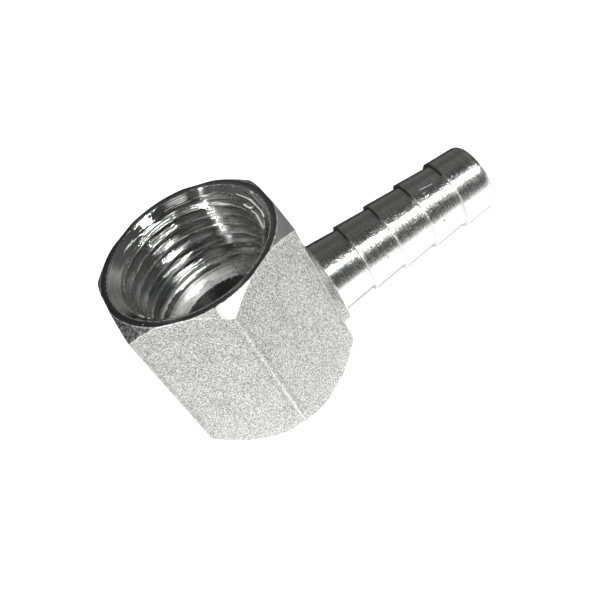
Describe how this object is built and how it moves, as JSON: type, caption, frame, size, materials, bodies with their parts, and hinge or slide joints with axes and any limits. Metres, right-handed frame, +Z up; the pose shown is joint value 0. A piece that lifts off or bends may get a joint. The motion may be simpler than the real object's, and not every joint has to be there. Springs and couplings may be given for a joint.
{
  "type": "angled pipe connector",
  "caption": "Right-angled connector with a hexagonal internally threaded socket at one end and a barbed tail for a flexible hose at the other.",
  "frame": {"origin": "centre of the base face that the connector rests on", "axes": "+Z up the hexagonal socket to its mouth, +X out along the hose tail"},
  "size_m": [0.0516, 0.0276, 0.026],
  "materials": {
    "plated_brass": "nickel plated: blasted on the forged faces, bright turned on the ring, thread and tail"
  },
  "bodies": {
    "root": {"elbow_body": "plated_brass"}
  },
  "joints": []
}
